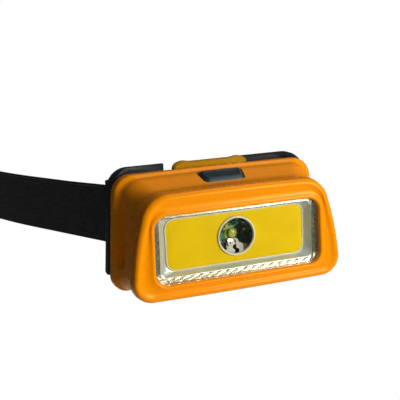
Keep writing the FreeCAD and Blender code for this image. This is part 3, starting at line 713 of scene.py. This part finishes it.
dome = [(1.9, 8.15), (1.9, 7.8)] + [(1.6 * math.cos(a), 7.8 - 1.0 * math.sin(a)) for a in [math.radians(8 * k) for k in range(0, 11)]]
v, f = grid(lathe(dome, 40), True, False, True, True)
led = make_obj("spot_led_dome", v, f, M["dome"], 50)

# ------------------------------------------------------------------ battery door with finger tab


def rbox(x0, x1, y0, y1, z0, z1, r, seg=4):
    me = bmesh.new()
    bmesh.ops.create_cube(me, size=1.0)
    for vv in me.verts:
        vv.co = Vector(((x0 + x1) / 2 + vv.co.x * (x1 - x0), (y0 + y1) / 2 + vv.co.y * (y1 - y0), (z0 + z1) / 2 + vv.co.z * (z1 - z0)))
    bmesh.ops.bevel(me, geom=list(me.edges), offset=r, segments=seg, profile=0.5, affect="EDGES", clamp_overlap=True)
    me.verts.ensure_lookup_table()
    idx = {vv: i for i, vv in enumerate(me.verts)}
    vs = [tuple(vv.co) for vv in me.verts]
    fs = [tuple(idx[q] for q in ff.verts) for ff in me.faces]
    me.free()
    return vs, fs


tab_rows = []
TW = 14.0
for y in np.linspace(0, 1, 23):
    yy = 25.03 + 2.66 * y
    edge = 1 - smooth01(min(y, 1 - y) / 0.34)
    zt = 24.4 - edge * 0.75
    hw = TW - edge * 0.6
    zb = 21.5
    top = []
    for k in range(0, 81):
        t = k / 80
        x = -hw + 2 * hw * t
        e = min(t, 1 - t) * 2 * hw
        z = zb + 0.35 + (zt - zb - 0.35) * math.sqrt(max(0.0, 1 - (1 - min(1.0, e / 5.2)) ** 2.4))
        dish = 0.6 * smooth01((e - 3.2) / 4.0) * math.sin(math.pi * min(1.0, max(0.0, (y - 0.06) / 0.9)))
        top.append((x, yy, z - dish))
    bot = [(hw - 2 * hw * k / 20, yy, zb) for k in range(0, 21)]
    tab_rows.append(top + bot)
tv, tf = grid(tab_rows, True, False, True, True)
parts = [(tv, tf), rbox(-25.9, 25.9, 25.7, 26.6, -11.7, 21.2, 0.2), rbox(-24.2, 24.2, 26.4, 27.7, -11.5, 21.2, 0.45), rbox(-13.2, 13.2, 25.7, 27.7, 20.9, 23.0, 0.3)]
for k in range(5):
    z = -7 + 2.4 * k
    parts.append(rbox(-9, 9, 27.5, 28.0, z, z + 1.0, 0.22))
v, f = merge(parts)
# The door takes the darkened copy of the orange plastic: painted shade.
door = make_obj("battery_cover", v, f, M["amber"], 40, "door")
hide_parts("battery_door")

# ------------------------------------------------------------------ forehead pad
NBp = 40
prow = []
PADS = (19.0, -11.0, 30.0, 30.0, 3.2, 3.2)
for y, d in ((31.02, 0.9), (31.1, 0.3), (31.5, 0.02), (32.2, 0.0), (32.7, 0.12), (33.0, 0.28), (33.3, 0.12), (34.0, 0.0), (34.5, 0.25), (34.8, 0.8), (34.93, 1.6)):
    prow.append(row(ins(PADS, d), y))
ctr = [(0.0, 34.97, 4.0)] * len(prow[0])
last = prow[-1]
for t in (0.1, 0.2, 0.35, 0.5, 0.65, 0.8, 0.92):
    prow.append([(p[0] * (1 - t), 34.93 + 0.05 * math.sin(t * 1.4) - 0.16 * (math.cos(p[0] * (1 - t) * 2 * math.pi / 12.0) < -0.86), p[2] + (4.0 - p[2]) * t) for p in last])
v, f = grid(prow, True, False, True, True)
padob = make_obj("forehead_cushion", v, f, M["foam"], 60, "bracket")
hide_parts("forehead_pad")

# ------------------------------------------------------------------ webbing
BAR_X, BAR_Y, BAR_R, ST_T = 33.2, 39.6, 1.0, 1.1
ST_Z0, ST_Z1, ST_ANG, ST_LEN, ST_FOLD = -4.9, 15.1, 61.0, 138.0, 3.0
a61 = math.radians(ST_ANG)
OFF = BAR_R + 0.1 + ST_T / 2


def nb(h):
    return (math.sin(h), math.cos(h))


def band_path():
    step = 1.0
    FR = []
    s = 0.0
    nx, ny = -math.sin(a61), -math.cos(a61)
    x, y = -BAR_X + nx * OFF, BAR_Y + ny * OFF
    while s <= ST_LEN + 1e-6:
        t = max(0.0, (s - 46.0) / (ST_LEN - 46.0))
        h = math.radians(ST_ANG + 22.0 * t)
        FR.append((s, x, y, h))
        x += -math.cos(h) * step
        y += math.sin(h) * step
        s += step
    P = []
    d = (-math.cos(a61), math.sin(a61)); n = nb(a61)
    bx, by = -BAR_X, BAR_Y
    for s, w in ((17.0, ST_T + .12), (16, ST_T + .12), (14.5, ST_T + .12), (12.5, ST_T + .12), (10.5, ST_T + .15), (8.8, ST_T + .3), (7.2, 1.75), (5.6, 2.25), (4.0, 2.75), (2.4, 3.08), (1.0, 3.25)):
        P.append((bx + d[0] * s + n[0] * (w - OFF), by + d[1] * s + n[1] * (w - OFF)))
    for k in range(0, 17):
        a = math.pi * k / 16
        cx = n[0] * math.cos(a) - d[0] * math.sin(a); cy = n[1] * math.cos(a) - d[1] * math.sin(a)
        P.append((bx + cx * OFF, by + cy * OFF))
    for s, x, y, h in FR[1:]:
        P.append((x, y))
    s, x, y, h = FR[-1]
    nn, dd = nb(h), (-math.cos(h), math.sin(h))
    cx, cy = x + nn[0] * ST_FOLD / 2, y + nn[1] * ST_FOLD / 2
    for k in range(1, 16):
        a = math.pi * k / 16
        P.append((cx + (-nn[0] * math.cos(a) + dd[0] * math.sin(a)) * ST_FOLD / 2, cy + (-nn[1] * math.cos(a) + dd[1] * math.sin(a)) * ST_FOLD / 2))
    for s, x, y, h in reversed(FR):
        if s < 5:
            continue
        m_ = nb(h)
        w = ST_FOLD - 0.35 * math.sin(math.pi * min(1, max(0, (s - 24) / (ST_LEN - 24)))) if s > 24 else 3.0 + (24 - s) / 24 * 1.95
        P.append((x + m_[0] * w, y + m_[1] * w))
    YB = BAR_Y + OFF
    corner = (bx + n[0] * 3.3, by + n[1] * 3.3)
    kt = (YB - corner[1]) / d[1]
    corner = (corner[0] + d[0] * kt, YB)
    R = 4.0
    tl = R * math.tan(a61 / 2)
    ccx, ccy = corner[0] + tl, YB + R
    for k in range(0, 13):
        a = -math.pi / 2 - a61 * (1 - k / 12)
        P.append((ccx + R * math.cos(a), ccy + R * math.sin(a)))
    x = P[-1][0] + 1.5
    while x < BAR_X - 1:
        P.append((x, YB)); x += 1.5
    for k in range(0, 17):
        a = math.pi / 2 - math.pi * k / 16
        P.append((BAR_X + OFF * math.cos(a), BAR_Y + OFF * math.sin(a)))
    x = BAR_X - 1.5
    while x > -14:
        P.append((x, BAR_Y - OFF)); x -= 1.5
    P.append((-14, BAR_Y - OFF))
    return P


def build_band():
    P = [Vector(p) for p in band_path()]
    # light smoothing so that joints between runs have no corner
    for _ in range(2):
        Q = [P[0]] + [P[i] * 0.5 + (P[i - 1] + P[i + 1]) * 0.25 for i in range(1, len(P) - 1)] + [P[-1]]
        P = Q
    zc, hw, ht = (ST_Z0 + ST_Z1) / 2, (ST_Z1 - ST_Z0) / 2, ST_T / 2
    # half section: rows across the width, thicker selvedge at both edges
    ts = [-1, -0.985, -0.95, -0.9, -0.8, -0.6, -0.4, -0.2, 0, 0.2, 0.4, 0.6, 0.8, 0.9, 0.95, 0.985, 1]

    def thick(t):
        a = abs(t)
        if a > 0.999:
            return 0.25
        if a > 0.98:
            return 0.75
        if a > 0.9:
            return 1.0
        return 0.88
    verts, faces, uvs = [], [], []
    S = [0.0]
    for i in range(1, len(P)):
        S.append(S[-1] + (P[i] - P[i - 1]).length)
    nt_ = len(ts)
    for i, p in enumerate(P):
        a = P[max(i - 1, 0)]; b = P[min(i + 1, len(P) - 1)]
        t = (b - a).normalized()
        nrm = Vector((-t.y, t.x))
        end = 1.0
        for side in (1, -1):
            seq = ts if side == 1 else ts[::-1]
            for tt in seq:
                w = zc + tt * hw
                q = p + nrm * side * ht * thick(tt) * end
                verts.append((q.x, q.y, w))
                uvs.append((S[i], tt * hw))
    m_ = 2 * nt_
    for i in range(len(P) - 1):
        for k in range(m_):
            k2 = (k + 1) % m_
            faces.append((i * m_ + k, i * m_ + k2, (i + 1) * m_ + k2, (i + 1) * m_ + k))
    faces.append(tuple(range(m_ - 1, -1, -1)))
    faces.append(tuple((len(P) - 1) * m_ + k for k in range(m_)))
    me = bpy.data.meshes.new("headband")
    me.from_pydata([W(*q) for q in verts], [], faces)
    me.update()
    uvl = me.uv_layers.new(name="band")
    for poly in me.polygons:
        for li in poly.loop_indices:
            uvl.data[li].uv = uvs[me.loops[li].vertex_index]
    me.materials.append(M["webbing"])
    ob = bpy.data.objects.new("headband", me)
    scene.collection.objects.link(ob)
    bm = bmesh.new(); bm.from_mesh(me); bmesh.ops.recalc_face_normals(bm, faces=bm.faces); bm.to_mesh(me); bm.free()
    shade(ob, 50)
    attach(ob, "bracket")
    return ob


def stitches():
    """Box-and-cross stitching through the sewn end, as short raised threads on both faces."""
    d = Vector((-math.cos(a61), math.sin(a61))); n = Vector(nb(a61))
    zc = (ST_Z0 + ST_Z1) / 2
    segs = []

    def line(s0, z0, s1, z1, m_):
        for k in range(m_):
            t0, t1 = (k + 0.14) / m_, (k + 0.86) / m_
            segs.append(((s0 + (s1 - s0) * t0, z0 + (z1 - z0) * t0), (s0 + (s1 - s0) * t1, z0 + (z1 - z0) * t1)))
    line(6.5, -7.5, 6.5, 7.5, 8); line(15.0, -7.5, 15.0, 7.5, 8)
    line(6.5, -7.5, 15.0, -7.5, 5); line(6.5, 7.5, 15.0, 7.5, 5)
    line(6.5, -7.5, 15.0, 7.5, 9); line(6.5, 7.5, 15.0, -7.5, 9)
    parts_ = []
    for side in (0, 1):
        for (s0, z0), (s1, z1) in segs:
            rws_ = []
            for k in range(7):
                t = k / 6
                s_, z_ = s0 + (s1 - s0) * t, z0 + (z1 - z0) * t
                lift = 0.10 * math.sin(math.pi * t) - 0.06
                if side == 0:
                    w = -OFF - ST_T / 2 * 0.88 - lift
                else:
                    w = -OFF + ST_T + 0.12 + (0.03 if s_ > 9 else 0.6 * (9 - s_) / 9) + ST_T / 2 * 0.88 + lift
                c = Vector((-BAR_X, BAR_Y)) + d * s_ + n * w
                dz, ds = z1 - z0, s1 - s0
                L = math.hypot(dz, ds)
                ring = []
                r = 0.17 * (0.55 + 0.45 * math.sin(math.pi * (0.1 + 0.8 * t)))
                for q in range(6):
                    a = 2 * math.pi * q / 6
                    u, h = r * math.cos(a), r * math.sin(a) * 0.8
                    cc = c + d * (-dz / L * u) + n * h
                    ring.append((cc.x, cc.y, zc + z_ + ds / L * u))
                rws_.append(ring)
            parts_.append(grid(rws_, True, False, True, True))
    v_, f_ = merge(parts_)
    return make_obj("band_stitching", v_, f_, M["thread"], 60, "bracket")


sewn = stitches()
strap = build_band()
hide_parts("strap_band")

# ------------------------------------------------------------------ carried-over CAD nodes
CARRY = {"rear_shell": "orange", "window_lens": "lens", "lens_gasket": "rubber", "button_seal": "rubber", "door_seal": "rubber", "cob_board": "board_white",
         "spot_led": "led_base", "heat_sink": "alu", "heat_sink_screws": "steel", "housing_screws": "steel", "driver_board": "pcb", "driver_parts": "chip",
         "tact_switch": "chip", "battery_tray": "black", "battery_cells": "cell", "contact_springs": "nickel", "contact_plates": "nickel", "battery_leads": "wire",
         "hinge_pin": "steel", "detent_leaf": "steel", "bracket": "black", "strap_slider": "black"}
BEVEL = {"bracket": 0.00035, "strap_slider": 0.0004, "rear_shell": 0.00015}
for n_, k_ in CARRY.items():
    o = NODES[n_]
    o.data.materials.clear()
    o.data.materials.append(M[k_])
    if n_ in BEVEL:
        wl = o.modifiers.new("weld", "WELD")
        wl.merge_threshold = 1e-6
        bv = o.modifiers.new("edge", "BEVEL")
        bv.width = BEVEL[n_]
        bv.segments = 3
        bv.limit_method = "ANGLE"
        bv.angle_limit = math.radians(35)
        bv.harden_normals = True
        try:
            for p in o.data.polygons:
                p.use_smooth = True
        except Exception:
            pass

# ------------------------------------------------------------------ stage and light
floor_me = bpy.data.meshes.new("floor")
Z0 = -0.45
pts, fcs = [], []
prof = [(-3.0, Z0), (1.6, Z0), (1.9, Z0 + 0.02), (2.2, Z0 + 0.1), (2.5, Z0 + 0.3), (2.7, Z0 + 0.6), (2.8, Z0 + 1.0), (2.8, Z0 + 3.0)]
for yy, zz in prof:
    pts += [(-4, yy, zz), (4, yy, zz)]
for i in range(len(prof) - 1):
    fcs.append((2 * i, 2 * i + 1, 2 * i + 3, 2 * i + 2))
floor_me.from_pydata(pts, [], fcs)
floor = bpy.data.objects.new("floor", floor_me)
scene.collection.objects.link(floor)
for p in floor_me.polygons:
    p.use_smooth = True
fm, fnt, fb = new_mat("floor_paint")
fv = coords(fnt)
fnt.links.new(ramp(fnt, noise(fnt, fv, 3, 2), [(0.3, (0.42, 0.42, 0.42)), (0.7, (0.45, 0.45, 0.45))]), fb.inputs["Base Color"])
fb.inputs["Roughness"].default_value = 0.9
fb.inputs["Specular IOR Level"].default_value = 0.1
em = fnt.nodes.new("ShaderNodeEmission")
em.inputs["Color"].default_value = (1, 1, 1, 1)
em.inputs["Strength"].default_value = 1.0
mx = fnt.nodes.new("ShaderNodeMixShader")
lpf = fnt.nodes.new("ShaderNodeLightPath")
fnt.links.new(lpf.outputs["Is Camera Ray"], mx.inputs["Fac"])
fnt.links.new(fb.outputs["BSDF"], mx.inputs[1])
fnt.links.new(em.outputs["Emission"], mx.inputs[2])
fnt.links.new(mx.outputs["Shader"], fnt.nodes["Material Output"].inputs["Surface"])
floor_me.materials.append(fm)

world = bpy.data.worlds.new("studio")
scene.world = world
world.use_nodes = True
wn = world.node_tree
bg = wn.nodes["Background"]
bg.inputs["Color"].default_value = (1, 1, 1, 1)
lpw = wn.nodes.new("ShaderNodeLightPath")
s1 = wn.nodes.new("ShaderNodeMath"); s1.operation = "MULTIPLY_ADD"
s1.inputs[1].default_value = 0.93; s1.inputs[2].default_value = 0.07
wn.links.new(lpw.outputs["Is Camera Ray"], s1.inputs[0])
s2 = wn.nodes.new("ShaderNodeMath"); s2.operation = "MULTIPLY_ADD"
s2.inputs[1].default_value = 0.16
wn.links.new(lpw.outputs["Is Glossy Ray"], s2.inputs[0])
wn.links.new(s1.outputs[0], s2.inputs[2])
wn.links.new(s2.outputs[0], bg.inputs["Strength"])


def area(name, loc, target, size, power, size_y=None):
    l = bpy.data.lights.new(name, "AREA")
    l.shape = "RECTANGLE"
    l.size = size
    l.size_y = size_y or size
    l.energy = power
    o = bpy.data.objects.new(name, l)
    scene.collection.objects.link(o)
    o.location = loc
    d = Vector(target) - Vector(loc)
    o.rotation_mode = "QUATERNION"
    o.rotation_quaternion = d.to_track_quat("-Z", "Y")
    return o


T = (0, -0.03, 0)
area("key", (0.45, -0.66, 0.17), T, 0.42, 7.6, 0.36)
area("top", (0.34, 0.14, 0.9), T, 0.45, 1.3, 0.4)
back = area("back", (0.5, 1.0, 0.12), T, 0.6, 11.0, 0.5)
back.visible_glossy = False
back_low = area("back_low", (0.1, 1.0, -0.22), T, 0.7, 6.0, 0.3)
back_low.visible_glossy = False
area("under", (0.1, -0.2, -0.42), T, 0.6, 0.5, 0.6)
scene.view_settings.view_transform = "Standard"
scene.view_settings.look = "None"
